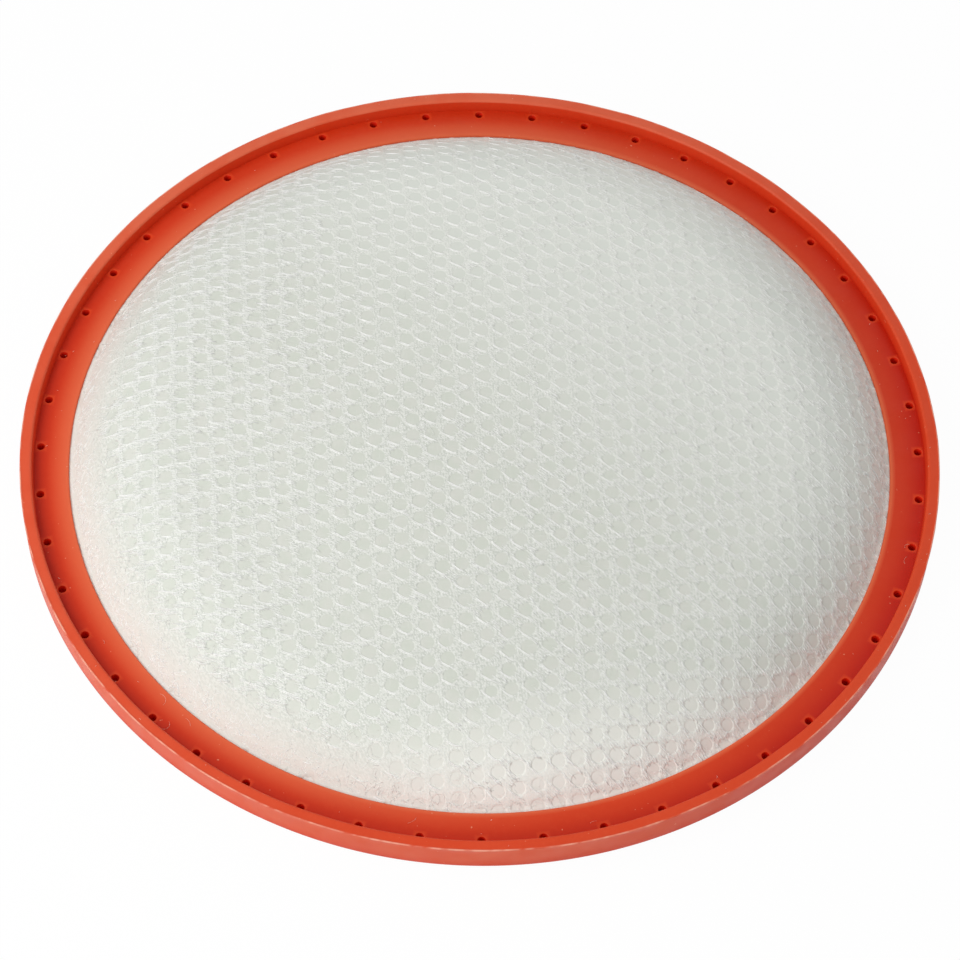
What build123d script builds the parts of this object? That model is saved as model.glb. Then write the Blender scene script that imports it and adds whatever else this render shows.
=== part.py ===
from build123d import *

import math
import os

# Vacuum pre-motor filter: a felt pad under a knitted mesh, moulded by its edge into a soft rubber seal ring.
# Millimetres. The origin is the middle of the ring's underside, and +Z points out of the domed mesh face.

# Seal ring, across
ring_diameter = 160.0  # outside of the ring's wall
rim_width = 2.0  # the raised rim, across its flat top
rim_draft = 0.2  # how much thicker the rim is at its foot
flange_width = 6.3  # from the rim's inner edge to the opening that the pad shows through

# Seal ring, through its height, from the underside up
under_lip = 0.9  # rubber below the pad's edge
cover_lip = 0.5  # rubber above the pad's edge
rim_rise = 2.6  # the rim's top above the flange

# Seal ring, edges
bottom_outer_radius = 1.0
rim_outer_chamfer = 0.2  # where the two halves of the mould meet
rim_inner_radius = 0.5
lip_radius = 0.35

# Blind holes that the mould's locating pins leave in the flange
pin_count = 48
pin_diameter = 1.4
pin_inset = 1.2  # from the rim's inner edge to the hole's middle
pin_depth = 2.4
pin_start_angle = 1.5
pin_wall = 0.25  # rubber between a pin hole and the pad's edge

# Pad: felt under a knitted mesh
felt_edge = 1.5  # the felt pressed flat inside the ring
mesh_thickness = 0.5
crown_radius = 480.0  # the gently domed middle
shoulder_radius = 28.0  # the turn down towards the ring
shoulder_angle = 48.4  # the slope that the shoulder ends at, in degrees
root_radius = 1.2  # the hollow turn into the ring
crown_runs = 2  # straight runs that each curve of the fabric is drawn with
shoulder_runs = 4
root_runs = 1

# Gaps of the knitted mesh, in staggered rows, as the fabric lies flat before it is domed
knit_angle = -37.4  # the rows' direction, in degrees from +X
gap_pitch = 16.4  # from gap to gap along a row
gap_row_pitch = 9.0  # from row to row
gap_mouth = 10.2  # across a gap's flats at the outer face
gap_flare = 40.0  # how far the gap's sides lean, in degrees
gap_sides = 8
gap_margin = 1.5  # plain mesh between the last gaps and the shoulder's end

# Radii and heights that follow
ring_r = ring_diameter / 2
rim_inner_r = ring_r - rim_width
opening_r = rim_inner_r - flange_width
pin_circle_r = rim_inner_r - pin_inset
pad_edge_r = pin_circle_r - pin_diameter / 2 - pin_wall
felt_edge_z = under_lip + felt_edge
mesh_edge_z = felt_edge_z + mesh_thickness
flange_z = mesh_edge_z + cover_lip
rim_z = flange_z + rim_rise

# The dome's arcs join without a corner, so the crown ends where the shoulder's slope starts
turn_sine = math.sin(math.radians(shoulder_angle))
crown_reach = (opening_r - (shoulder_radius + root_radius) * turn_sine) / (1 - shoulder_radius / crown_radius)
crown_angle = math.degrees(math.asin(crown_reach / crown_radius))
crown_cosine = math.cos(math.radians(crown_angle))
turn_cosine = math.cos(math.radians(shoulder_angle))
crown_rise = crown_radius * (1 - crown_cosine)
shoulder_rise = shoulder_radius * (crown_cosine - turn_cosine)
root_rise = root_radius * (1 - turn_cosine)
dome_z = mesh_edge_z + root_rise + shoulder_rise + crown_rise

# A gap is cut from the flat of its mouth, past the most that the shoulder falls away under it
mouth_corner_r = gap_mouth / 2 / math.cos(math.pi / gap_sides)
mouth_fall = shoulder_radius - math.sqrt(shoulder_radius**2 - mouth_corner_r**2)
gap_depth = mesh_thickness + mouth_fall


def dome_arcs(depth):
    """The arcs of the dome's section, from its top to the ring, depth below the mesh's outer face."""
    crown = JernArc((0, dome_z - depth), (1, 0), crown_radius - depth, -crown_angle)
    shoulder = JernArc(crown @ 1, crown % 1, shoulder_radius - depth, crown_angle - shoulder_angle)
    root = JernArc(shoulder @ 1, shoulder % 1, root_radius + depth, shoulder_angle)
    return crown, shoulder, root


def dome_points(depth):
    """Points along the dome's section, from its top to the pad's edge, with a straight run between each two."""
    with BuildLine():
        arcs = dome_arcs(depth)
    points = [arcs[0] @ 0]
    for arc, runs in zip(arcs, (crown_runs, shoulder_runs, root_runs)):
        points += [arc @ (run / runs) for run in range(1, runs + 1)]
    return points + [(pad_edge_r, mesh_edge_z - depth)]


def gap_planes():
    """One plane for each gap, on the mesh's outer face and facing inwards, with its X axis along the row."""
    with BuildLine(Plane.XZ) as section:
        crown, shoulder, root = dome_arcs(0)
    dome = section.wire()
    row_direction = Vector(1, 0, 0).rotate(Axis.Z, knit_angle)
    last_gap = crown.length + shoulder.length - gap_margin - gap_mouth / 2
    rows = math.ceil(last_gap / gap_row_pitch)
    columns = math.ceil(last_gap / gap_pitch)
    planes = []
    for row in range(-rows, rows + 1):
        for column in range(-columns, columns + 1):
            flat = Vector((column + row % 2 / 2) * gap_pitch, row * gap_row_pitch).rotate(Axis.Z, knit_angle)
            if flat.length > last_gap:
                continue
            bearing = math.degrees(math.atan2(flat.Y, flat.X))
            centre = dome.position_at(flat.length, PositionMode.LENGTH).rotate(Axis.Z, bearing)
            downhill = dome.tangent_at(flat.length, PositionMode.LENGTH).rotate(Axis.Z, bearing)
            sideways = Vector(0, 1, 0).rotate(Axis.Z, bearing)
            inwards = sideways.cross(downhill)
            along_row = row_direction - inwards * row_direction.dot(inwards)
            planes.append(Plane(centre, along_row, inwards))
    return planes


# Rubber seal ring: raised rim, sunk flange and a slot that grips the pad's edge
with BuildPart() as seal_ring:
    with BuildSketch(Plane.XZ) as ring_section:
        with BuildLine():
            Polyline(
                (opening_r, 0),
                (ring_r, 0),
                (ring_r, rim_z),
                (rim_inner_r, rim_z),
                (rim_inner_r - rim_draft, flange_z),
                (opening_r, flange_z),
                (opening_r, mesh_edge_z),
                (pad_edge_r, mesh_edge_z),
                (pad_edge_r, under_lip),
                (opening_r, under_lip),
                close=True,
            )
        make_face()
        rounded = {
            (ring_r, 0): bottom_outer_radius,
            (rim_inner_r, rim_z): rim_inner_radius,
            (opening_r, flange_z): lip_radius,
        }
        for corner, radius in rounded.items():
            fillet(ring_section.vertices().sort_by_distance(corner)[0], radius)
        chamfer(ring_section.vertices().sort_by_distance((ring_r, rim_z))[0], rim_outer_chamfer)
    revolve(axis=Axis.Z)
    with Locations(Plane.XY.offset(flange_z)):
        with PolarLocations(pin_circle_r, pin_count, start_angle=pin_start_angle):
            Hole(pin_diameter / 2, pin_depth)

# Knitted mesh face: a domed wall with rows of gaps, its flat edge held in the ring
with BuildPart() as mesh_cover:
    with BuildSketch(Plane.XZ):
        with BuildLine():
            Polyline(*dome_points(0), *reversed(dome_points(mesh_thickness)), close=True)
        make_face()
    revolve(axis=Axis.Z)
    with BuildSketch(*gap_planes()):
        RegularPolygon(gap_mouth / 2, gap_sides, major_radius=False, rotation=180 / gap_sides)
    extrude(amount=gap_depth, taper=gap_flare, mode=Mode.SUBTRACT)

# Felt filter pad: the dome under the mesh, pressed thin where the ring holds it
with BuildPart() as filter_felt:
    with BuildSketch(Plane.XZ):
        with BuildLine():
            Polyline(*dome_points(mesh_thickness), (pad_edge_r, under_lip), (0, under_lip), close=True)
        make_face()
    revolve(axis=Axis.Z)

seal_ring.part.label = "seal_ring"
mesh_cover.part.label = "mesh_cover"
filter_felt.part.label = "filter_felt"

os.makedirs("parts", exist_ok=True)
export_step(seal_ring.part, "parts/seal_ring.step")
export_step(mesh_cover.part, "parts/mesh_cover.step")
export_step(filter_felt.part, "parts/filter_felt.step")
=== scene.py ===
import math

import bpy
import numpy as np
from mathutils import Matrix, Vector


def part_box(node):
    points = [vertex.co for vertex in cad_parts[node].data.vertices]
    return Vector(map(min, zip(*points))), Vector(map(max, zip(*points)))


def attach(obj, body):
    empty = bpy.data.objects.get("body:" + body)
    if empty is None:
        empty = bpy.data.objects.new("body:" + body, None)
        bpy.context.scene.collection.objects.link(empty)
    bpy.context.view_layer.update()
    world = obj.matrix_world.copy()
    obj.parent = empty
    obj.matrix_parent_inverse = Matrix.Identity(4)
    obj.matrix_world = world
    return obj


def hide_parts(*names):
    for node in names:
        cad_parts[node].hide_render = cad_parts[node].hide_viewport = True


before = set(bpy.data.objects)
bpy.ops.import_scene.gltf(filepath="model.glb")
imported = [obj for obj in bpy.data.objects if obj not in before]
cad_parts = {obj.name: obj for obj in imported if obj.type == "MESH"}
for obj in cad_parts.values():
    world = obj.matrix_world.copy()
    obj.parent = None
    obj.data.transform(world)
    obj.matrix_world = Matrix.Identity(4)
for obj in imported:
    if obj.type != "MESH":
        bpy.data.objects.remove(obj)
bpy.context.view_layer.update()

# Vacuum pre-motor filter: a rubber seal ring, a domed felt pad and the knitted mesh stretched over it.
# Sizes are in millimetres, and a mesh is turned into metres when it is made.
# The photo looks from the -Y side, so -Y is near, +Y is far, -X is left and +X is right.

MM = 0.001
RIGHT, LEFT = (1, 0), (-1, 0)
rng = np.random.default_rng(11)


def box_mm(node):
    """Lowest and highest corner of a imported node, in millimetres."""
    low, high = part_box(node)
    return np.array(low) / MM, np.array(high) / MM


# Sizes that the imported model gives
_, ring_high = box_mm("seal_ring")
felt_low, felt_high = box_mm("filter_felt")
cover_low, _ = box_mm("mesh_cover")
ring_r = ring_high[0]
rim_z = ring_high[2]
pad_edge_r = felt_high[0]
under_lip = felt_low[2]
cover_thickness = 0.5
mesh_edge_z = cover_low[2] + cover_thickness

# Seal ring's section
rim_width = 2.0
rim_draft = 0.2
flange_width = 6.3
rim_rise = 2.6
bottom_radius = 1.0
rim_radius = 0.5
lip_radius = 0.35
rim_inner_r = ring_r - rim_width
opening_r = rim_inner_r - flange_width
flange_z = rim_z - rim_rise

# The mould's flash line on the rim's outer edge: how far each point lies out from that corner and above it
flash_bead = ((0.0, -0.24), (0.04, -0.12), (0.03, 0.0), (-0.05, 0.08), (-0.13, 0.07), (-0.22, 0.0))
flash_mean = 0.65  # share of the bead that is there on average
flash_swing = 0.35
flash_most = 1.3

# Runs that each straight part and each rounded edge of the ring's section is drawn with
flange_runs = 5
bottom_runs = 4
wall_runs = 5
rim_runs = 4
inner_runs = 3
arc_runs = 6

# How far the soft ring strays from a true circle and from a level top, and the columns between the two
ring_sway = 0.02
level_sway = 0.015
sway_shift = 40

# Pin holes in the flange
pin_count = 48
pin_r = 0.7
pin_inset = 1.2
pin_depth = 2.4
pin_start = math.radians(1.5)
pin_circle_r = rim_inner_r - pin_inset
pin_columns = 16  # columns of the ring from one hole to the next
pin_rows = 4  # rows of the flange that the holes are let into
pin_rows_end = 75.6  # how far in those rows reach
pin_sides = 4 * pin_rows
ring_columns = pin_count * pin_columns

# Circles of a pin hole from its mouth down: radius, height over the flange and share of the painted shade,
# a deeper red
pin_levels = (
    (pin_r + 0.13, 0.0, 0.0),
    (pin_r + 0.05, -0.015, 0.0),
    (pin_r, -0.08, 0.75),
    (pin_r - 0.02, -pin_depth / 2, 1.0),
    (pin_r - 0.04, -pin_depth, 1.0),
)

# Shares of the rubber's painted shade and light, row by row: painted shade on the flange from the rim's
# foot in, painted light on the flange's last rows, and painted shade on the rim's inner wall from its top
# down
flange_painted_shade = (0.85, 0.8, 0.7, 0.6, 0.5, 0.36, 0.24, 0.14, 0.06)
flange_painted_light = (0.2, 0.45, 0.65, 0.8)
inner_painted_shade = (0.1, 0.4)

# Dome's section, from the middle out
crown_radius = 480.0
shoulder_radius = 28.0
shoulder_angle = math.radians(48.4)
root_radius = 1.2
edge_clearance = 0.2  # from the fabric's edge to the end of the ring's slot
turn_sine = math.sin(shoulder_angle)
turn_width = (shoulder_radius + root_radius) * turn_sine
crown_reach = (opening_r - turn_width) / (1 - shoulder_radius / crown_radius)
crown_angle = math.asin(crown_reach / crown_radius)
crown_end = crown_radius * crown_angle
shoulder_end = crown_end + shoulder_radius * (shoulder_angle - crown_angle)
root_end = shoulder_end + root_radius * shoulder_angle
fabric_edge = root_end + pad_edge_r - opening_r - edge_clearance
crown_rise = crown_radius * (1 - math.cos(crown_angle))
shoulder_rise = shoulder_radius * (math.cos(crown_angle) - math.cos(shoulder_angle))
dome_z = mesh_edge_z + root_radius * (1 - math.cos(shoulder_angle)) + shoulder_rise + crown_rise

# Knit: the two steps from hole to hole in the flat fabric, and one hole's place
knit_step_a = np.array([3.254, 0.631])
knit_step_b = np.array([0.316, -3.362])
knit_origin = np.array([1.97, -6.3])
knit_reach = 30  # steps that are tried to each side
knit_hem = 2.7  # fabric from the last holes' middles to its edge
knit_unevenness = 0.16
hole_r = 1.18
hole_scatter = 0.06  # of each hole's place and of its radius
hole_brushed = (0.3, 0.4)  # share of brushing from which on holes close up, and the width of the change
hole_closed = 0.98  # share taken off their radius there
hole_right = (-5, 50)  # from where on and over what width they get smaller towards the right
hole_smaller = 0.08

# Depths under the mesh's outer face
wall_depth = 0.25  # the knitted wall's inner face
felt_depth = 0.03
sunk_depth = 0.06  # further, where the felt lies back in the holes
pressed_depth = 0.3  # further, where the ring presses the felt

# Web from a cell's border to its hole: share of the way, height, and its fall where the felt is sunk
knit_bands = (
    (0.6, 0.0, 0.0),
    (0.95, -0.014, -0.055),
    (1.0, -felt_depth - 0.008, -0.065),
    (1.0, -wall_depth, 0.0),
)
border_lump = 0.014
web_lump = 0.008
lump_end = 0.9  # share of the way to the hole where the web's lumps end

# A cell's border, in parts of a step from its middle
step_parts = 6
border_parts = np.array([
    (-3, -3), (-1, -3), (1, -3), (3, -3), (3, -1), (3, 1),
    (3, 3), (1, 3), (-1, 3), (-3, 3), (-3, 1), (-3, -1),
])
border_count = len(border_parts)

# Brushed-up knit on the slope at the lower left
fluffy_turn = math.radians(206)
fluffy_spread = 0.42  # cosine of the angle to each side where it ends
fluffy_reach = 12.0  # from the ring to where it starts
fluffy_ease = 8.0

# Felt that lies back in the holes, on the slope at the near right
sunk_turn = math.radians(-40)
sunk_spread = 0.25
sunk_reach = 13.0
sunk_ease = 9.0

# Yarns that lie closer towards the far right: direction, and the start and width of the change
dense_toward = (0.6, 0.8)
dense_band = (-12, 60)

# Fabric that the light washes out at the near edge, and less at the far one
near_toward = (0.25, -0.95)
near_band = (50, 20)
far_toward = (0.45, 0.89)
far_band = (50, 22)
far_most = 0.7

# Painted red bounce light from the ring on the fabric beside it
ring_bounce_reach = 9.0

# Direction of the bright yarns in the flat fabric: degrees at four places from left to right
tilt_places = (-64, -42, 0, 25)
tilt_degrees = (4, -14, -31, math.degrees(math.atan2(*(knit_step_a + knit_step_b)[::-1])))
tilt_far = 60  # where the far side's yarns lie flattest
tilt_flatter = 0.2
speckle_turn = math.radians(-56)  # direction of the speckle on the yarns

# Raised yarns beside each hole: length, radius, and distance out in hole radii at the left and at the right
strand_sets = ((3.0, 0.088, 0.99, 0.95), (2.7, 0.07, 1.16, 1.08))
strand_right = (-5, 35)  # start and width of the change to pulled fabric, at each side
strand_left = (15, 25)
strand_end = 0.9  # share of brushing where they end
strand_fade = 0.75  # what the washed-out fabric at the left counts for beside brushing
fade_left = (-25, 40)
strand_points = 5
strand_lean = 0.06  # scatter of their direction, in radians
strand_bend = (0.15, 0.05)  # mean and scatter
bend_middle = 0.33  # mean of a bent yarn's course, so that it stays beside its hole
straighter_right = 0.9
straighter_left = 0.6
strand_scatter = 0.3  # of their length
longer_right = 0.3
strand_slide = 0.12  # along the row
slide_scatter = 0.15
slide_left = 0.3  # more of that scatter at the left
strand_sink = 0.02  # of their ends, under the mesh's outer face
strand_arch = 0.05
strand_lift = 0.012  # scatter of their height
strand_girth = (0.8, 1.15)  # least and most share of the radius
strand_taper = 0.75  # share taken off it at the ends
taper_power = 2.5
thinner_right = 0.42
thinner_left = 0.2
thinnest_strand = 0.015

# Thin straight yarns on the webs
fine_count = 21  # tried in each cell
fine_gap = 0.05  # from a yarn's middle to the hole
fine_least = 0.12  # share of the cells that have them where the fabric isn't pulled
fine_right = (-12, 35)
fine_left = (18, 20)
fine_lean = (-0.05, 0.08)  # off the bright yarns' direction: mean and scatter, in radians
fine_half = (0.4, 0.85)  # half their length, least and most
fine_longer = 0.6  # share added to it at the left
fine_height = 0.004
fine_arch = 0.03
fine_lift = 0.008
fine_r = (0.045, 0.065)
fine_taper = 0.6

# Short stitches on the webs
grain_rows = 7  # in each cell, both ways
grain_gap = 0.08  # from a stitch's middle to the hole
grain_end = 0.4  # share of brushing where they end
grain_scatter = 0.022  # of their places, in steps of the knit
grain_leans = (-0.75, -0.05)  # off the bright yarns' direction, by turns, in radians
grain_twist = 0.15
grain_half = (0.19, 0.29)
grain_r = (0.07, 0.10)
grain_thinner = 1.5  # share taken off the radius, for each share of brushing
grain_height = (-0.008, 0.008)  # mean and scatter
grain_crest = 0.6  # height of the crest, in radii

# Loose fibres at the ring, all over the fabric and on the brushed slope
rim_fibres = 2000
rim_gap = 0.3
rim_band = 1.5
field_fibres = 500
field_margin = 2
brushed_fibres = 1800
brushed_spread = 0.5  # to each side, in radians
brushed_band = 6.5
fuzz_points = 5
fuzz_length = (3.0, 0.45)  # shape and scale of the gamma distribution that it is drawn from
fuzz_curl = 1.1
fuzz_margin = 0.05  # from a fibre's end to the ring
fuzz_rise = (0.06, 0.07)  # mean and scatter
fuzz_arc = 0.8  # share of half a turn that the rise follows
fuzz_height = 0.012
fuzz_r = 0.028
fuzz_taper = 0.5
brushed_flatter = 0.75  # share taken off the rise
brushed_sink = 0.03
brushed_thicker = 0.03

# Felt pad's grid and lumps
felt_columns = 240
crown_rings = 40
slope_rings = 26
back_rings = 34
felt_lump = 0.006
felt_fade = 6  # over this width at the edge, the lumps fade out
back_lump = 0.07
back_fade = 8
back_sag = 0.12
back_shift = 200  # so that the back has other lumps than the top

# Hairs on the rubber: bearing and distance from the axis, heading, length and curl, with angles in degrees
# apart from the curl, which is in radians
lint_hairs = (
    (226, 74.6, 30, 3.4, 2.2),
    (228, 75.4, -40, 3.0, -2.6),
    (231, 74.0, 80, 2.2, 1.2),
    (-15, 76.6, 200, 2.0, 1.6),
    (-14, 75.8, 120, 1.6, -2.4),
    (262, 74.8, 10, 2.2, 0.8),
    (286, 75.6, 170, 1.5, 0.9),
    (214, 75.0, 60, 1.0, 1.4),
)
hair_r = 0.02
hair_band = (opening_r + 0.6, rim_inner_r - 0.5)  # the part of the flange that hairs keep to
speck_count = 46
speck_rim_share = 0.35  # of the specks, on the rim's top
speck_rim = (ring_r - 1.4, ring_r - 0.4)
speck_flange = (opening_r + 0.8, rim_inner_r - 0.6)
speck_length = (0.15, 0.6)
speck_r = (0.025, 0.055)
speck_taper = 0.6
speck_curl = 1.2
lint_points = 6
lint_height = 0.03  # of a hair's middle over the rubber

# Floor
floor_half = 10000.0
floor_z = -0.02
floor_white = 0.97  # share of plain white in what the camera sees of it

# Studio, in metres and watts: name, place, side and power of each square lamp, all aimed at the origin
studio_level = 0.44
studio_lamps = (
    ("key", (-0.24, -0.08, 0.28), 0.24, 0.66),
    ("front", (-0.25, -0.65, 0.35), 0.5, 1.6),
    ("fill", (0.30, 0.45, 0.40), 0.5, 0.5),
)

# Camera fitted to the photo, in metres
camera_place = Vector((0.0, -0.31173, 0.45357))
camera_aim = Vector((0.000115, -0.008276, 0.0060))
camera_roll = math.radians(1.622)
camera_lens = 117.26
camera_sensor = 36.0

# Helpers


def smooth(share):
    """0 below 0, 1 above 1 and an even ease between."""
    share = np.clip(share, 0, 1)
    return share * share * (3 - 2 * share)


def unit(angle):
    """Directions in the plane at angles."""
    return np.stack([np.cos(angle), np.sin(angle)], -1)


def left_of(direction):
    """Directions turned by a quarter turn."""
    return np.stack([-direction[..., 1], direction[..., 0]], -1)


def polar(flat):
    """Distance from the middle and bearing of places in the flat fabric."""
    return np.hypot(flat[..., 0], flat[..., 1]), np.arctan2(flat[..., 1], flat[..., 0])


def slant(flat, toward, start, width):
    """How far places lie along a direction: 0 up to start and 1 from start + width on."""
    return smooth((toward[0] * flat[..., 0] + toward[1] * flat[..., 1] - start) / width)


def near_ring(reach, start, width):
    """How close places are to the ring: 0 further than start from it, 1 once they are width closer."""
    return smooth((reach - root_end + start) / width)


def wave_field(count, longest, shortest, seed):
    """A smooth random function of a place, as a sum of waves."""
    draw = np.random.default_rng(seed)
    lengths = np.exp(draw.uniform(math.log(shortest), math.log(longest), count))
    turns = draw.uniform(0, 2 * math.pi, count)
    waves = unit(turns) * (2 * math.pi / lengths)[:, None]
    phases = draw.uniform(0, 2 * math.pi, count)
    return lambda place: np.cos(place[..., :2] @ waves.T + phases).sum(-1) * math.sqrt(2 / count)


def make_mesh(name, points, faces, material, smooth_faces=True):
    """A mesh object from points in millimetres."""
    mesh = bpy.data.meshes.new(name)
    mesh.from_pydata((np.asarray(points) * MM).tolist(), [], faces)
    mesh.polygons.foreach_set("use_smooth", [smooth_faces] * len(mesh.polygons))
    mesh.materials.append(material)
    mesh.validate()
    piece = bpy.data.objects.new(name, mesh)
    bpy.context.scene.collection.objects.link(piece)
    return piece


def tag(piece, name, values):
    """Stores one number for each point of a piece, for its material."""
    layer = piece.data.attributes.new(name, "FLOAT", "POINT")
    layer.data.foreach_set("value", np.asarray(values).astype(np.float32))


def tubes(name, paths, radii, sides, material):
    """One mesh of thin closed tubes; paths is strands x points x 3, radii is strands x points."""
    strands, steps, _ = paths.shape
    along = np.gradient(paths, axis=1)
    along /= np.linalg.norm(along, axis=2, keepdims=True)
    up = np.array([0.0, 0.0, 1.0]) + 0.001 * along
    side = np.cross(along, up)
    side /= np.linalg.norm(side, axis=2, keepdims=True)
    lift = np.cross(side, along)
    angles = np.arange(sides) * 2 * math.pi / sides
    rings = paths[:, :, None] + radii[:, :, None, None] * (
        side[:, :, None] * np.cos(angles)[:, None] + lift[:, :, None] * np.sin(angles)[:, None])
    index = np.arange(strands * steps * sides).reshape(strands, steps, sides)
    here, there = index[:, :-1], index[:, 1:]
    quads = np.stack([here, there, np.roll(there, -1, 2), np.roll(here, -1, 2)], -1).reshape(-1, 4)
    caps = np.concatenate([index[:, 0], index[:, -1, ::-1]])
    return make_mesh(name, rings.reshape(-1, 3), quads.tolist() + caps.tolist(), material)


# Dome, and where the fabric looks different


def dome_profile(s):
    """Radius, height and slope of the mesh's outer face at arc length s from the top."""
    s = np.asarray(s, float)
    slope_crown = np.clip(s, 0, crown_end) / crown_radius
    slope_turn = crown_angle + (np.clip(s, crown_end, shoulder_end) - crown_end) / shoulder_radius
    slope_root = shoulder_angle - (np.clip(s, shoulder_end, root_end) - shoulder_end) / root_radius
    r = crown_radius * np.sin(slope_crown)
    r = r + shoulder_radius * (np.sin(slope_turn) - math.sin(crown_angle))
    r = r + root_radius * (turn_sine - np.sin(slope_root))
    r = r + np.clip(s - root_end, 0, None)
    z = dome_z - crown_radius * (1 - np.cos(slope_crown))
    z = z - shoulder_radius * (math.cos(crown_angle) - np.cos(slope_turn))
    z = z - root_radius * (np.cos(slope_root) - math.cos(shoulder_angle))
    slope = np.where(s < crown_end, slope_crown, np.where(s < shoulder_end, slope_turn, slope_root))
    return r, z, slope


def drape(flat, height):
    """Points of the flat fabric, laid on the dome at a height over the mesh's outer face."""
    s, turn = polar(flat)
    r, z, slope = dome_profile(np.minimum(s, fabric_edge))
    out = r + height * np.sin(slope)
    return np.stack([out * np.cos(turn), out * np.sin(turn), z + height * np.cos(slope)], -1)


def fluffy_share(flat):
    """How much the knit is brushed up: 1 on the slope at the lower left, 0 elsewhere."""
    reach, turn = polar(flat)
    facing = smooth((np.cos(turn - fluffy_turn) - fluffy_spread) / fluffy_spread)
    return facing * near_ring(reach, fluffy_reach, fluffy_ease)


def sunk_share(flat):
    """How far the felt lies back in the holes: 1 on the slope at the near right, 0 elsewhere."""
    reach, turn = polar(flat)
    facing = smooth((np.cos(turn - sunk_turn) - sunk_spread) / (2 * sunk_spread))
    return facing * near_ring(reach, sunk_reach, sunk_ease) * (1 - fluffy_share(flat)) ** 2


def dense_share(flat):
    """How closely the yarns lie: 1 at the far right, where the knit is brighter, 0 at the near left."""
    return slant(flat, dense_toward, *dense_band)


def near_share(flat):
    """How far the light washes the fabric out: 1 at the near edge, less at the far one and 0 between."""
    near = slant(flat, near_toward, *near_band)
    return np.maximum(near, far_most * slant(flat, far_toward, *far_band))


def ring_bounce_share(flat):
    """How much painted red bounce light from the ring the fabric gets: 1 where it goes into the ring."""
    reach, _ = polar(flat)
    return near_ring(reach, ring_bounce_reach, ring_bounce_reach)


def tag_fabric(piece, points, visible=1.0):
    """Stores the fabric's four shares for its material, each times visible."""
    shares = {"fluffy": fluffy_share, "dense": dense_share, "near": near_share, "painted_bounce": ring_bounce_share}
    for name, share in shares.items():
        tag(piece, name, share(points) * visible)


# Materials


class Nodes:
    """A node tree, with short ways to add nodes to it."""

    def __init__(self, tree):
        self.tree = tree

    def feed(self, socket, value):
        if isinstance(value, bpy.types.NodeSocket):
            self.tree.links.new(value, socket)
        else:
            socket.default_value = value

    def add(self, kind, values=None, **settings):
        node = self.tree.nodes.new(kind)
        for key, value in settings.items():
            setattr(node, key, value)
        for key, value in (values or {}).items():
            self.feed(node.inputs[key], value)
        return node

    def ramp(self, value, low, high, first=0.0, last=1.0):
        """first below low, last above high and smooth between."""
        values = {"Value": value, "From Min": low, "From Max": high, "To Min": first, "To Max": last}
        return self.add("ShaderNodeMapRange", values, interpolation_type="SMOOTHSTEP").outputs["Result"]

    def math(self, operation, first, second):
        node = self.add("ShaderNodeMath", operation=operation)
        self.feed(node.inputs[0], first)
        self.feed(node.inputs[1], second)
        return node.outputs[0]

    def seen(self):
        """1 for what the camera sees, straight, mirrored or through glass, and 0 for other light."""
        rays = self.add("ShaderNodeLightPath").outputs
        indirect = self.math("MAXIMUM", rays["Is Glossy Ray"], rays["Is Transmission Ray"])
        return self.math("MAXIMUM", rays["Is Camera Ray"], indirect)


class Material(Nodes):
    """A material with one main shader."""

    sockets = {
        "color": "Base Color",
        "roughness": "Roughness",
        "normal": "Normal",
        "specular": "Specular IOR Level",
        "sheen": "Sheen Weight",
        "sheen_roughness": "Sheen Roughness",
    }

    def __init__(self, name):
        self.material = bpy.data.materials.new(name)
        self.material.use_nodes = True
        super().__init__(self.material.node_tree)
        self.shader = self.tree.nodes["Principled BSDF"]
        self.output = self.tree.nodes["Material Output"]
        self.place = self.add("ShaderNodeTexCoord").outputs["Object"]

    def turned(self, turn, scale, kind="POINT"):
        """The object's own coordinates, turned and stretched."""
        values = {"Vector": self.place, "Rotation": (0, 0, turn), "Scale": scale}
        return self.add("ShaderNodeMapping", values, vector_type=kind).outputs["Vector"]

    def noise(self, scale, detail, place=None, roughness=0.5):
        values = {"Vector": place or self.place, "Scale": scale, "Detail": detail, "Roughness": roughness}
        return self.add("ShaderNodeTexNoise", values).outputs["Fac"]

    def mix(self, share, first, second):
        node = self.add("ShaderNodeMix", data_type="RGBA")
        for socket, value in zip((node.inputs[0], node.inputs[6], node.inputs[7]), (share, first, second)):
            self.feed(socket, value)
        return node.outputs[2]

    def tagged(self, name, most=1.0):
        """A share that is stored with the mesh, times the most that it counts for."""
        share = self.add("ShaderNodeAttribute", attribute_name=name).outputs["Fac"]
        return share if most == 1.0 else self.math("MULTIPLY", share, most)

    def bump(self, height, distance, strength):
        values = {"Height": height, "Distance": distance, "Strength": strength}
        return self.add("ShaderNodeBump", values).outputs["Normal"]

    def set(self, **values):
        for key, value in values.items():
            self.feed(self.shader.inputs[self.sockets[key]], value)
        return self.material


def rgb(red, green, blue):
    return (red, green, blue, 1.0)


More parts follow.
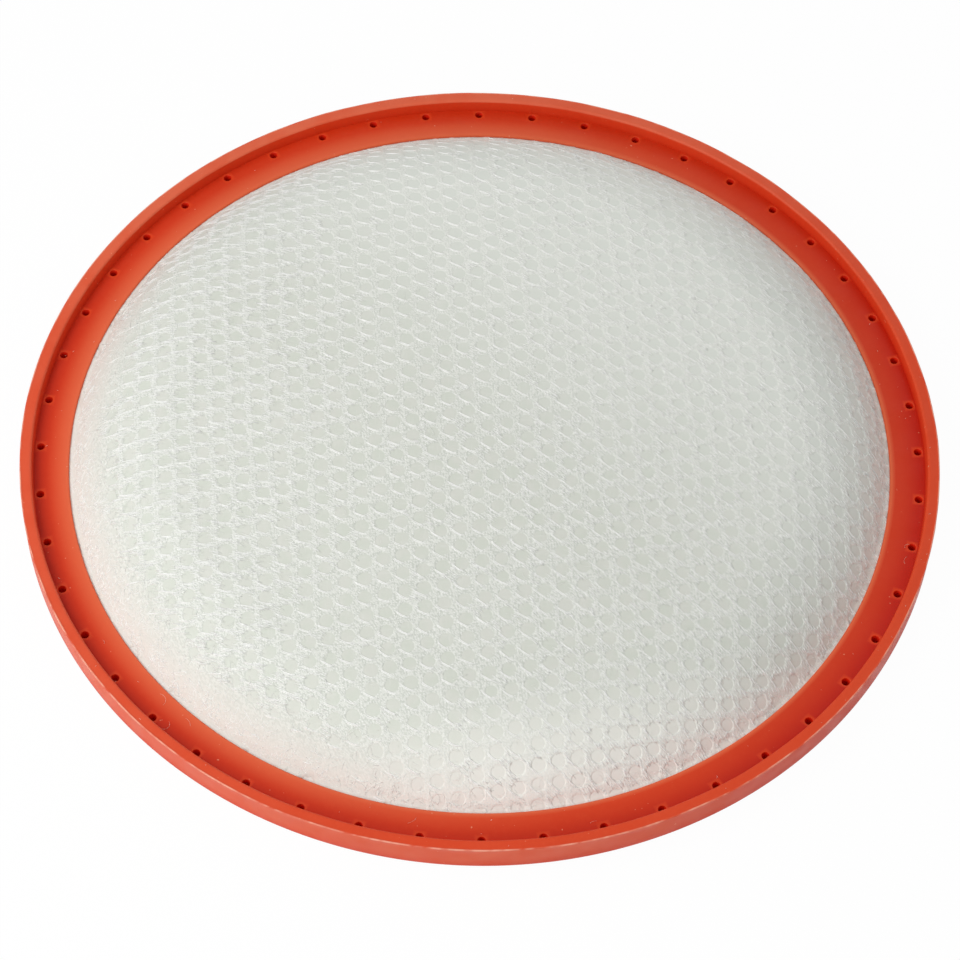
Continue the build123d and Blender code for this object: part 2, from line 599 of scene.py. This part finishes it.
def rubber_material():
    """Soft orange rubber with dust specks, painted reflection of the white floor on its wall and rim,
    painted light towards the lip, painted shade at the rim's foot, down the walls and in the pin holes, and
    a painted highlight along the flash line.
    """
    n = Material("soft_rubber")
    color = n.mix(n.ramp(n.noise(40.0, 2.0), 0.3, 0.7), rgb(0.655, 0.046, 0.008), rgb(0.695, 0.053, 0.010))
    color = n.mix(n.ramp(n.noise(1300.0, 3.0), 0.4, 0.8, 0.0, 0.3), color, rgb(0.72, 0.075, 0.020))
    # Painted reflection of the white floor, a paler pink on the outer wall and the rim's top
    reflection_share = n.math("MULTIPLY", n.tagged("painted_reflection"), n.ramp(n.noise(150.0, 3.0), 0.3, 0.65, 0.65, 1.0))
    color = n.mix(reflection_share, color, rgb(0.74, 0.14, 0.066))
    # Painted light: the flange paler towards the lip
    color = n.mix(n.tagged("lip", 0.8), color, rgb(0.76, 0.145, 0.058))
    # Painted shade: deeper red at the rim's foot, at the right and low on the wall
    color = n.mix(n.tagged("painted_shade"), color, rgb(0.52, 0.014, 0.002))
    # Painted shade: a deeper, more saturated red down the pin holes and a little on the rim's inner wall
    color = n.mix(n.tagged("pin"), color, rgb(0.66, 0.010, 0.002))
    # Painted highlight: a pale line along the flash bead
    flash_highlight = n.math("MULTIPLY", n.tagged("flash"), n.ramp(n.noise(300.0, 3.0), 0.35, 0.55, 0.45, 1.0))
    color = n.mix(flash_highlight, color, rgb(0.87, 0.36, 0.25))
    dust = n.ramp(n.noise(1700.0, 1.0), 0.77, 0.81, 0.0, 0.6)
    color = n.mix(dust, color, rgb(0.82, 0.36, 0.22))
    rough = n.ramp(n.noise(220.0, 3.0), 0.3, 0.7, 0.40, 0.52)
    normal = n.bump(n.noise(900.0, 3.0), 0.00003, 0.35)
    return n.set(color=color, roughness=rough, normal=normal, specular=0.2)


def felt_material():
    """Needled felt: two layers of crossed fibres on a slightly uneven pale colour."""
    n = Material("needled_felt")
    fibres = n.noise(2000.0, 4.0, n.turned(0.7, (1.0, 0.22, 1.0)), 0.65)
    crossed = n.noise(1800.0, 4.0, n.turned(0.3, (0.22, 1.0, 1.0)), 0.65)
    weave = n.math("MAXIMUM", fibres, crossed)
    color = n.mix(n.ramp(n.noise(260.0, 2.0), 0.3, 0.7), rgb(0.655, 0.685, 0.610), rgb(0.690, 0.700, 0.640))
    color = n.mix(n.ramp(weave, 0.5, 0.8, 0.0, 0.35), color, rgb(0.80, 0.81, 0.76))
    color = n.mix(n.tagged("dense"), color, rgb(0.772, 0.800, 0.742))
    color = n.mix(n.tagged("near"), color, rgb(0.87, 0.865, 0.805))
    # Painted red bounce light from the ring
    color = n.mix(n.tagged("painted_bounce", 0.6), color, rgb(0.80, 0.725, 0.67))
    color = n.mix(n.tagged("fluffy"), color, rgb(0.75, 0.74, 0.695))
    normal = n.bump(weave, 0.00008, 0.2)
    return n.set(color=color, roughness=0.9, normal=normal, specular=0.15, sheen=0.1, sheen_roughness=0.5)


def yarn_material(name, dark, light, grain, specular, roughness):
    """Yarn with a fine speckle that is drawn out along the stitches."""
    n = Material(name)
    speckle = n.noise(grain, 2.0, n.turned(speckle_turn, (2.0, 1.0, 1.0), "TEXTURE"))
    color = n.mix(n.ramp(speckle, 0.40, 0.60), dark, light)
    color = n.mix(n.tagged("dense", 0.6), color, rgb(0.885, 0.905, 0.850))
    color = n.mix(n.tagged("near", 0.8), color, rgb(0.92, 0.915, 0.855))
    # Painted red bounce light from the ring
    color = n.mix(n.tagged("painted_bounce", 0.5), color, rgb(0.85, 0.77, 0.71))
    color = n.mix(n.tagged("fluffy", 0.85), color, rgb(0.755, 0.74, 0.68))
    normal = n.bump(speckle, 0.00010, 0.5)
    return n.set(
        color=color, roughness=roughness, normal=normal, specular=specular, sheen=0.15, sheen_roughness=0.4)


# Ring


def fillet_corner(before, corner, after, radius):
    """Points of the arc that rounds a corner."""
    before, corner, after = (np.array(point, float) for point in (before, corner, after))
    first = (before - corner) / np.linalg.norm(before - corner)
    second = (after - corner) / np.linalg.norm(after - corner)
    half = math.acos(np.clip(first @ second, -1, 1)) / 2
    centre = corner + (first + second) / np.linalg.norm(first + second) * radius / math.sin(half)
    start = corner + first * radius / math.tan(half) - centre
    end = corner + second * radius / math.tan(half) - centre
    start_angle, end_angle = math.atan2(start[1], start[0]), math.atan2(end[1], end[0])
    turn = (end_angle - start_angle + math.pi) % (2 * math.pi) - math.pi
    angles = start_angle + turn * np.arange(arc_runs + 1) / arc_runs
    return [tuple(centre + radius * unit(angle)) for angle in angles]


def straight(first, last, runs):
    """Points from first up to last, last left out."""
    return [tuple(np.array(first) + (np.array(last) - np.array(first)) * k / runs) for k in range(runs)]


def ring_section():
    """The ring's section, counter-clockwise from the foot of the rim, and the rows of each part of it."""
    foot, pin_end = (rim_inner_r - rim_draft, flange_z), (pin_rows_end, flange_z)
    rim_in, rim_out = (rim_inner_r, rim_z), (ring_r, rim_z)
    bottom_out, bottom_in = (ring_r, 0.0), (opening_r, 0.0)
    slot = [(opening_r, mesh_edge_z), (pad_edge_r, mesh_edge_z)]
    slot += [(pad_edge_r, under_lip), (opening_r, under_lip)]
    bead = [(ring_r + out, rim_z + up) for out, up in flash_bead]
    lip_arc = fillet_corner(pin_end, (opening_r, flange_z), slot[0], lip_radius)
    bottom_arc = fillet_corner(bottom_in, bottom_out, rim_out, bottom_radius)
    rim_arc = fillet_corner(rim_out, rim_in, foot, rim_radius)
    parts = {
        "flange": straight(foot, pin_end, pin_rows) + straight(pin_end, lip_arc[0], flange_runs),
        "lip": lip_arc,
        "slot": slot,
        "bottom": straight(bottom_in, bottom_arc[0], bottom_runs),
        "wall": bottom_arc + straight(bottom_arc[-1], bead[0], wall_runs)[1:],
        "bead": bead,
        "rim": straight(bead[-1], rim_arc[0], rim_runs)[1:] + rim_arc,
        "inner": straight(rim_arc[-1], foot, inner_runs)[1:],
    }
    section, rows = [], {}
    for name, points in parts.items():
        rows[name] = slice(len(section), len(section) + len(points))
        section += points
    return np.array(section), rows


def ring_paint_shares(section, rows, around, flash):
    """Five shares of painted highlight, reflection, light and shade at each point of the ring, for the
    rubber's material.
    """
    names = ("flash", "painted_reflection", "lip", "painted_shade", "pin")
    paint_shares = {name: np.zeros((len(section), ring_columns)) for name in names}
    lip, bead, inner = rows["lip"], rows["bead"], rows["inner"]
    pale = slice(lip.start - len(flange_painted_light), lip.start)
    wall = slice(rows["wall"].start, bead.start + 1)
    rim_top = slice(bead.stop - 1, inner.start - 1)
    rim_inside = slice(inner.start - 1, len(section))
    right, left, far = smooth(around[:, 0]), smooth(-around[:, 0]), smooth(around[:, 1])
    lit_side = smooth(0.35 - around[:, 0] + 0.55 * np.clip(around[:, 1], 0, 1))
    wall_z = section[wall, 1:]
    # Painted highlight along the flash bead at the rim's outer top edge
    paint_shares["flash"][bead.start + 1:bead.stop - 1] = np.clip(flash + 0.2, 0, 1)
    # Painted reflection of the white floor: it thins out towards the wall's foot, and lies most on the far
    # and the left part of the rim
    paint_shares["painted_reflection"][wall] = (0.8 - 0.3 * right) * np.clip(wall_z / 3, 0.3, 1)
    paint_shares["painted_reflection"][rim_top] = 0.12 + 0.8 * far * (1 - 0.5 * right) + 0.3 * left
    paint_shares["painted_reflection"][rim_inside] = 0.1
    # Painted light: the flange's last rows and the lip paler, most at the left and the far side
    paint_shares["lip"][pale] = np.array(flange_painted_light)[:, None] * (0.05 + 0.95 * lit_side)
    paint_shares["lip"][lip] = 1.0
    # Painted shade: the colour is deepest at the right and in the shade of the rim, and less so at the far
    # side
    paint_shares["painted_shade"][rows["flange"]] = (np.array(flange_painted_shade)[:, None] + 0.28 * right) * (1 - 0.45 * far)
    paint_shares["painted_shade"][wall] = 0.42 * right + 0.3 * np.clip(1 - wall_z / 2, 0, 1)
    paint_shares["painted_shade"][inner] = np.array(inner_painted_shade)[:, None] * (1 - 0.6 * far)
    # Painted shade: a little of the pin holes' deeper red on the rim's inner wall
    paint_shares["pin"][rim_inside] = 0.15
    return paint_shares


def pin_border(index, middle):
    """The flange's points round the patch that a pin hole is let into, in order."""
    half = pin_rows // 2
    border = [(0, middle + k) for k in range(half, -half, -1)]
    border += [(k, middle - half) for k in range(pin_rows)]
    border += [(pin_rows, middle + k) for k in range(-half, half)]
    border += [(k, middle + half) for k in range(pin_rows, 0, -1)]
    return [int(index[row, column % ring_columns]) for row, column in border]


def pin_circle(radial, radius, z):
    """Points of a circle in a pin hole, in the order of its border."""
    spins = np.radians(45 + 360 / pin_sides * np.arange(pin_sides))[:, None]
    places = radial * (pin_circle_r + radius * np.sin(spins)) + left_of(radial) * radius * np.cos(spins)
    return [(x, y, z) for x, y in places]


def build_ring(material):
    """The ring turned from its section, with a patch for each pin hole."""
    section, rows = ring_section()
    around = unit(pin_start + np.arange(ring_columns) * 2 * math.pi / ring_columns)
    sway = wave_field(count=14, longest=60, shortest=9, seed=3)(around * ring_r)
    rough = wave_field(count=24, longest=14, shortest=1.6, seed=5)(around * ring_r)
    flash = np.clip(flash_mean + flash_swing * rough, 0.0, flash_most)
    r, z = section[:, :1], section[:, 1:]
    upper = np.clip((z - flange_z) / rim_rise, 0, 1)
    radius = r + ring_sway * sway * upper
    height = z + level_sway * np.roll(sway, sway_shift) * upper
    bead = rows["bead"]
    radius[bead] += (flash - 1) * np.maximum(r[bead] - ring_r, 0)
    height[bead] += (flash - 1) * np.maximum(z[bead] - rim_z, 0)
    points = np.stack([radius * around[:, 0], radius * around[:, 1], height], -1).reshape(-1, 3)
    index = np.arange(len(points)).reshape(len(section), ring_columns)
    beside, after = np.roll(index, -1, 1), np.roll(index, -1, 0)
    quads = np.stack([index, beside, np.roll(beside, -1, 0), after], -1)
    half = pin_rows // 2
    holed = np.arange(pin_count)[:, None] * pin_columns + np.arange(-half, half)
    kept = np.ones(index.shape, bool)
    kept[:pin_rows, holed.ravel() % ring_columns] = False
    faces = quads[kept].tolist()
    pin_points, red_shade_shares = [], []
    for middle in range(0, ring_columns, pin_columns):
        outer = pin_border(index, middle)
        for circle_r, drop, share in pin_levels:
            inner = [len(points) + len(pin_points) + k for k in range(pin_sides)]
            pin_points += pin_circle(around[middle], circle_r, flange_z + drop)
            red_shade_shares += [share] * pin_sides
            for k in range(pin_sides):
                onward = (k + 1) % pin_sides
                faces.append((outer[onward], outer[k], inner[k], inner[onward]))
            outer = inner
        faces.append(tuple(reversed(outer)))
    piece = make_mesh("rubber_seal_ring", np.concatenate([points, pin_points]), faces, material)
    for name, values in ring_paint_shares(section, rows, around, flash).items():
        in_pins = red_shade_shares if name == "pin" else np.zeros(len(pin_points))
        tag(piece, name, np.concatenate([values.ravel(), in_pins]))
    ends = np.zeros(2 * len(piece.data.edges), int)
    piece.data.edges.foreach_get("vertices", ends)
    foot_edges = (ends.reshape(-1, 2) < ring_columns).all(1)
    piece.data.attributes.new("sharp_edge", "BOOLEAN", "EDGE").data.foreach_set("value", foot_edges)
    return piece


# Fabric

stretch_x = wave_field(count=10, longest=70, shortest=18, seed=21)
stretch_y = wave_field(count=10, longest=70, shortest=18, seed=22)


def even_place(steps):
    """Flat place of a lattice point (steps along a and b), if the fabric were even."""
    return knit_origin + steps[..., :1] * knit_step_a + steps[..., 1:] * knit_step_b


def lattice_place(steps):
    """Flat place of a lattice point, with the fabric's slight unevenness."""
    place = even_place(steps)
    return place + knit_unevenness * np.stack([stretch_x(place), stretch_y(place)], -1)


def knit_cells():
    """Lattice points of all holes, out to where the ring hides the fabric."""
    steps = np.arange(-knit_reach, knit_reach + 1)
    a, b = np.meshgrid(steps, steps, indexing="ij")
    cells = np.stack([a.ravel(), b.ravel()], -1)
    reach, _ = polar(even_place(cells))
    return cells[reach < fabric_edge - knit_hem]


def row_tilt(flat):
    """Direction of the bright yarns in the flat fabric, which fan out from left to right."""
    tilt = np.interp(flat[:, 0], tilt_places, tilt_degrees)
    flatter = 1 - tilt_flatter * np.clip(flat[:, 1] / tilt_far, 0, 1)
    return np.radians(tilt * flatter)


def hole_radii(centres):
    """Radius of each hole: closed up where the knit is brushed, and a little smaller at the right."""
    radii = hole_r + rng.normal(0, hole_scatter, len(centres))
    start, width = hole_brushed
    brushed = smooth((fluffy_share(centres) - start) / width)
    return radii * (1 - hole_closed * brushed) * (1 - hole_smaller * slant(centres, RIGHT, *hole_right))


def hole_gap(steps):
    """How far a place on the lattice is from the edge of the nearest hole."""
    return np.linalg.norm(lattice_place(steps) - lattice_place(np.round(steps)), axis=-1) - hole_r


def build_knit(cells, centres, radii, material):
    """The knitted wall: one holed patch for each cell, sharing its border with its neighbours."""
    keys = (cells[:, None, :] * step_parts + border_parts[None]).reshape(-1, 2)
    shared, which = np.unique(keys, axis=0, return_inverse=True)
    which = which.reshape(len(cells), border_count)
    border = lattice_place(shared / step_parts)
    sunk = sunk_share(centres)[:, None]
    lumps = rng.normal(0, border_lump, len(shared))
    top = drape(border, lumps)
    bottom = drape(border, np.full(len(shared), -wall_depth))
    first_spin = math.atan2(knit_step_a[1], knit_step_a[0]) + math.radians(135)
    spins = first_spin - np.arange(border_count) * math.radians(360 / border_count)
    rim = centres[:, None] + radii[:, None, None] * unit(spins)[None]
    cell_border = border[which]
    lump = lumps[which]
    bands = []
    for share, height, fall in knit_bands:
        flat = cell_border + share * (rim - cell_border)
        bumps = lump * (1 - share) + rng.normal(0, web_lump, lump.shape) * (share < lump_end)
        bands.append(drape(flat, height + fall * sunk + bumps))
    points = np.concatenate([top, bottom] + [band.reshape(-1, 3) for band in bands])
    band_index = np.arange(which.size).reshape(which.shape) + 2 * len(shared)
    loops = [which] + [band_index + band * which.size for band in range(len(bands))] + [which + len(shared)]
    faces = []
    for outer, inner in zip(loops[:-1], loops[1:]):
        quads = np.stack([outer, np.roll(outer, -1, 1), np.roll(inner, -1, 1), inner], -1)
        faces.append(quads.reshape(-1, 4))
    edges = np.stack([which, np.roll(which, -1, 1)], -1).reshape(-1, 2)
    _, first, uses = np.unique(np.sort(edges, axis=1), axis=0, return_index=True, return_counts=True)
    start, end = edges[first[uses == 1]].T
    skirt = np.stack([end, start, start + len(shared), end + len(shared)], -1)
    faces = np.concatenate(faces + [skirt])[:, ::-1]
    piece = make_mesh("knit_mesh", points, faces.tolist(), material)
    tag_fabric(piece, points)
    return piece


def build_strands(centres, radii, material):
    """The raised yarns at each hole's lower left: curved in the middle, straight and thin at the sides."""
    faded = strand_fade * near_share(centres) * slant(centres, LEFT, *fade_left)
    plain = rng.random(len(centres)) * strand_end > np.maximum(fluffy_share(centres), faded)
    centres, radii = centres[plain], radii[plain]
    count = len(centres)
    right, left = slant(centres, RIGHT, *strand_right), slant(centres, LEFT, *strand_left)
    direction = unit(row_tilt(centres) + rng.normal(0, strand_lean, count))
    normal = left_of(direction)
    bend = rng.normal(*strand_bend, count) * (1 - straighter_right * right) * (1 - straighter_left * left)
    paths, thicks = [], []
    t = np.linspace(-1, 1, strand_points)
    for size, thick, out, out_right in strand_sets:
        length = rng.normal(size, strand_scatter, count) * (1 + longer_right * right)
        slide = rng.normal(strand_slide, slide_scatter + slide_left * left, count)
        aside = radii * (out + (out_right - out) * right)
        middle = centres - normal * aside[:, None] + direction * slide[:, None]
        flat = middle[:, None] + direction[:, None] * (t[None] * length[:, None] / 2)[..., None]
        flat = flat + normal[:, None] * (bend[:, None] * (t**2 - bend_middle)[None])[..., None]
        height = -strand_sink + strand_arch * (1 - t**2)[None] + rng.normal(0, strand_lift, (count, 1))
        taper = 1 - strand_taper * np.abs(t)[None] ** taper_power
        radius = thick * rng.uniform(*strand_girth, (count, 1)) * taper
        radius = radius * (1 - thinner_right * right - thinner_left * left)[:, None]
        paths.append(drape(flat, height))
        thicks.append(np.clip(radius, thinnest_strand, None))
    return tubes("yarn_strands", np.concatenate(paths), np.concatenate(thicks), 4, material)


def build_fine_yarns(cells, centres, material):
    """Thin straight yarns on the webs, most of them at the right and left, where the fabric is pulled."""
    pulled = np.maximum(slant(centres, RIGHT, *fine_right), slant(centres, LEFT, *fine_left))
    wanted = (fine_least + (1 - fine_least) * pulled) * (1 - fluffy_share(centres))
    chosen = cells[rng.random(len(cells)) < wanted]
    tries = len(chosen) * fine_count
    steps = np.repeat(chosen + 0.5, fine_count, axis=0) + rng.uniform(-0.5, 0.5, (tries, 2))
    steps = steps[hole_gap(steps) > fine_gap]
    place = lattice_place(steps)
    count = len(place)
    tilt = row_tilt(place) + rng.normal(*fine_lean, count)
    half_length = rng.uniform(*fine_half, count) * (1 + fine_longer * slant(place, LEFT, *fine_left))
    direction = unit(tilt) * half_length[:, None]
    t = np.array([-1.0, 0.0, 1.0])
    flat = place[:, None] + direction[:, None] * t[None, :, None]
    height = fine_height + fine_arch * (1 - t**2)[None] + rng.normal(0, fine_lift, (count, 1))
    thick = rng.uniform(*fine_r, (count, 1)) * (1 - fine_taper * np.abs(t))[None]
    return tubes("fine_yarns", drape(flat, height), thick, 3, material)


def build_grains(cells, centres, radii, material):
    """Short stitches that cover the webs between the holes, in close rows that lean to and fro."""
    a, b = np.meshgrid(np.arange(grain_rows), np.arange(grain_rows), indexing="ij")
    inside = (np.stack([a.ravel(), b.ravel()], -1) + 0.5) / grain_rows - 0.5
    tries = len(inside)
    steps = np.repeat(cells.astype(float), tries, axis=0) + np.tile(inside, (len(cells), 1))
    flat = lattice_place(steps + rng.normal(0, grain_scatter, steps.shape))
    lean = np.tile(np.where((a - b).ravel() % 2, *grain_leans), len(cells))
    away = np.linalg.norm(flat - np.repeat(centres, tries, axis=0), axis=1) - np.repeat(radii, tries)
    kept = (away > grain_gap) & (fluffy_share(flat) < grain_end)
    flat, lean = flat[kept], lean[kept]
    count = len(flat)
    along = unit(row_tilt(flat) + lean + rng.normal(0, grain_twist, count))
    direction = along * rng.uniform(*grain_half, count)[:, None]
    radius = rng.uniform(*grain_r, count) * (1 - grain_thinner * fluffy_share(flat))
    normal = left_of(along) * radius[:, None]
    height = rng.normal(*grain_height, count)
    crest = height + radius * grain_crest
    corners = [drape(flat - direction, height), drape(flat + direction, height),
               drape(flat - normal, crest), drape(flat + normal, crest)]
    points = np.stack(corners, 1).reshape(-1, 3)
    stitch = np.array([(0, 2, 3), (1, 3, 2), (0, 3, 1), (0, 1, 2)])
    faces = (np.arange(count)[:, None, None] * len(corners) + stitch[None]).reshape(-1, 3)
    return make_mesh("yarn_grains", points, faces.tolist(), material, smooth_faces=False)


def build_fuzz(material):
    """Loose fibres, thickest where the fabric goes into the ring and on the brushed slope."""
    turn = rng.uniform(0, 2 * math.pi, rim_fibres + field_fibres)
    rim_reach = root_end - rim_gap - np.abs(rng.normal(0, rim_band, rim_fibres))
    field_reach = (root_end - field_margin) * np.sqrt(rng.random(field_fibres))
    brushed_turn = fluffy_turn + rng.normal(0, brushed_spread, brushed_fibres)
    brushed_reach = root_end - np.abs(rng.normal(0, brushed_band, brushed_fibres))
    reach = np.concatenate([rim_reach, field_reach, brushed_reach])
    start = unit(np.concatenate([turn, brushed_turn])) * reach[:, None]
    count = len(start)
    heading = rng.uniform(0, 2 * math.pi, count)
    length = rng.gamma(*fuzz_length, count)
    curl = rng.normal(0, fuzz_curl, count)
    t = np.linspace(0, 1, fuzz_points)
    steps = unit(heading[:, None] + curl[:, None] * t[None]) * (length[:, None, None] / len(t))
    flat = start[:, None] + np.cumsum(steps, axis=1)
    far, _ = polar(flat)
    flat = flat * np.minimum(1, (root_end - fuzz_margin) / far)[..., None]
    brushed_up = fluffy_share(start)
    rise = np.abs(rng.normal(*fuzz_rise, count)) * (1 - brushed_flatter * brushed_up)
    base = (fuzz_height - brushed_sink * brushed_up)[:, None]
    height = base + rise[:, None] * np.sin(t * math.pi * fuzz_arc)[None]
    thick = (fuzz_r + brushed_thicker * brushed_up)[:, None] * (1 - fuzz_taper * t)[None]
    return tubes("loose_fibres", drape(flat, height), thick, 3, material)


def build_felt(material):
    """The felt pad: its dome under the mesh, its pressed edge and its plain flat back."""
    lumps = wave_field(count=30, longest=14, shortest=2.5, seed=31)
    crown_s = np.linspace(0, crown_end, crown_rings)[1:]
    slope_s = np.linspace(crown_end, root_end, slope_rings)[1:]
    around = unit(np.arange(felt_columns) * 2 * math.pi / felt_columns)
    rings = []
    for s in np.concatenate([crown_s, slope_s, [fabric_edge]]):
        flat = around * s
        free = np.clip((root_end - s) / felt_fade, 0, 1)
        depth = pressed_depth if s > root_end else sunk_depth * sunk_share(flat)
        rings.append(drape(flat, felt_lump * lumps(flat) * free - (felt_depth + depth)))
    for r in np.linspace(pad_edge_r, 0, back_rings)[:-1]:
        flat = around * r
        free = np.clip((opening_r - r) / back_fade, 0, 1)
        z = under_lip - back_sag * free + back_lump * free * lumps(flat + back_shift)
        rings.append(np.concatenate([flat, z[:, None]], 1))
    middles = [[0, 0, dome_z - felt_depth], [0, 0, under_lip - back_sag]]
    points = np.concatenate(rings + [middles])
    back_point = len(points) - 1
    top_point = back_point - 1
    index = np.arange(top_point).reshape(len(rings), felt_columns)
    beside = np.roll(index, -1, 1)
    quads = np.stack([index[:-1], index[1:], beside[1:], beside[:-1]], -1).reshape(-1, 4)
    fans = [(top_point, index[0, k], beside[0, k]) for k in range(felt_columns)]
    fans += [(back_point, beside[-1, k], index[-1, k]) for k in range(felt_columns)]
    piece = make_mesh("felt_pad", points, quads.tolist() + fans, material)
    tag_fabric(piece, points, points[:, 2] > mesh_edge_z - cover_thickness)
    return piece


# Lint


def curled(bearing, distance, heading, length, curl, t):
    """Flat points of a curled hair that starts at a bearing and distance."""
    steps = unit(heading + curl * t) * length / len(t)
    return distance * unit(bearing) + np.cumsum(steps, axis=0)


def build_lint(material):
    """A few hairs and specks that cling to the flange and the rim's top."""
    t = np.linspace(0, 1, lint_points)
    paths, thicks = [], []
    for bearing, distance, heading, length, curl in lint_hairs:
        flat = curled(math.radians(bearing), distance, math.radians(heading), length, curl, t)
        far, _ = polar(flat)
        flat = flat * (np.clip(far, *hair_band) / far)[:, None]
        paths.append(np.concatenate([flat, np.full((len(t), 1), flange_z + lint_height)], 1))
        thicks.append(np.full(len(t), hair_r))
    on_rim = rng.random(speck_count) < speck_rim_share
    rim_distance = rng.uniform(*speck_rim, speck_count)
    flange_distance = rng.uniform(*speck_flange, speck_count)
    distance = np.where(on_rim, rim_distance, flange_distance)
    base_z = np.where(on_rim, rim_z, flange_z)
    bearing = rng.uniform(0, 2 * math.pi, speck_count)
    heading = rng.uniform(0, 2 * math.pi, speck_count)
    length = rng.uniform(*speck_length, speck_count)
    size = rng.uniform(*speck_r, speck_count)
    for k in range(speck_count):
        flat = curled(bearing[k], distance[k], heading[k], length[k], speck_curl, t)
        paths.append(np.concatenate([flat, np.full((len(t), 1), base_z[k] + lint_height)], 1))
        thicks.append(size[k] * (1 - speck_taper * np.abs(2 * t - 1)))
    return tubes("lint", np.array(paths), np.array(thicks), 4, material)


# Stage, light and camera


def build_stage():
    """A plain pale floor that shows white to the camera and keeps the object's shadow."""
    n = Material("pale_floor")
    n.set(color=rgb(0.88, 0.88, 0.88), roughness=0.8, specular=0.1)
    white = n.add("ShaderNodeEmission", {"Color": rgb(1, 1, 1), "Strength": 1.0})
    blend = n.add("ShaderNodeMixShader", {"Fac": n.math("MULTIPLY", n.seen(), floor_white)})
    n.feed(blend.inputs[1], n.shader.outputs[0])
    n.feed(blend.inputs[2], white.outputs[0])
    n.feed(n.output.inputs["Surface"], blend.outputs[0])
    corners = [(x * floor_half, y * floor_half, floor_z) for x, y in ((-1, -1), (1, -1), (1, 1), (-1, 1))]
    floor = make_mesh("floor", corners, [(0, 1, 2, 3)], n.material, smooth_faces=False)


def build_world():
    """Even light from all round, which shows white to the camera."""
    world = bpy.data.worlds.new("studio")
    bpy.context.scene.world = world
    world.use_nodes = True
    n = Nodes(world.node_tree)
    background = n.tree.nodes["Background"]
    n.feed(background.inputs["Color"], rgb(1, 1, 1))
    n.feed(background.inputs["Strength"], n.ramp(n.seen(), 0.0, 1.0, studio_level, 1.0))


def area_light(name, place, size, watts):
    """A square lamp that is aimed at the origin and not seen itself."""
    lamp = bpy.data.lights.new(name, "AREA")
    lamp.shape = "SQUARE"
    lamp.size = size
    lamp.energy = watts
    light = bpy.data.objects.new(name, lamp)
    light.location = place
    light.rotation_mode = "QUATERNION"
    light.rotation_quaternion = (-Vector(place)).to_track_quat("-Z", "Y")
    light.visible_camera = False
    bpy.context.scene.collection.objects.link(light)


def build_camera():
    """The camera, rolled about its line of sight."""
    data = bpy.data.cameras.new("camera")
    data.lens = camera_lens
    data.sensor_width = camera_sensor
    data.clip_start, data.clip_end = 0.01, 40.0
    camera = bpy.data.objects.new("camera", data)
    forward = (camera_aim - camera_place).normalized()
    right = forward.cross(Vector((0, 0, 1))).normalized()
    up = right.cross(forward)
    turned_right = right * math.cos(camera_roll) + up * math.sin(camera_roll)
    turned_up = up * math.cos(camera_roll) - right * math.sin(camera_roll)
    turn = Matrix((turned_right, turned_up, -forward)).transposed()
    camera.matrix_world = Matrix.Translation(camera_place) @ turn.to_4x4()
    bpy.context.scene.collection.objects.link(camera)
    bpy.context.scene.camera = camera


bpy.context.scene.view_settings.view_transform = "Standard"

rubber = rubber_material()
felt_look = felt_material()
knit_look = yarn_material("knit", rgb(0.62, 0.645, 0.585), rgb(0.765, 0.78, 0.725), 3300.0, 0.2, 0.75)
grain_look = yarn_material("short_yarn", rgb(0.80, 0.81, 0.77), rgb(0.89, 0.895, 0.86), 1500.0, 0.3, 0.6)
# Real raised yarns, fine yarns and loose fibres, whose near-white colour is partly a painted highlight on
# the knit's own yarn
highlit_yarn_look = yarn_material("yarn_painted_highlight", rgb(0.94, 0.945, 0.92), rgb(0.96, 0.96, 0.94), 2200.0, 0.5, 0.4)
lint_look = yarn_material("lint", rgb(0.80, 0.38, 0.27), rgb(0.88, 0.60, 0.50), 2200.0, 0.3, 0.6)

ring = build_ring(rubber)
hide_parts("seal_ring")

cells = knit_cells()
centres = lattice_place(cells.astype(float)) + rng.normal(0, hole_scatter, (len(cells), 2))
radii = hole_radii(centres)
knit = build_knit(cells, centres, radii, knit_look)
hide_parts("mesh_cover")
strands = build_strands(centres, radii, highlit_yarn_look)
fine = build_fine_yarns(cells, centres, highlit_yarn_look)
grains = build_grains(cells, centres, radii, grain_look)
fuzz = build_fuzz(highlit_yarn_look)
lint = build_lint(lint_look)

felt = build_felt(felt_look)
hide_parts("filter_felt")

for piece in (ring, knit, strands, fine, grains, fuzz, lint, felt):
    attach(piece, "root")

build_stage()
build_world()
for lamp in studio_lamps:
    area_light(*lamp)
build_camera()
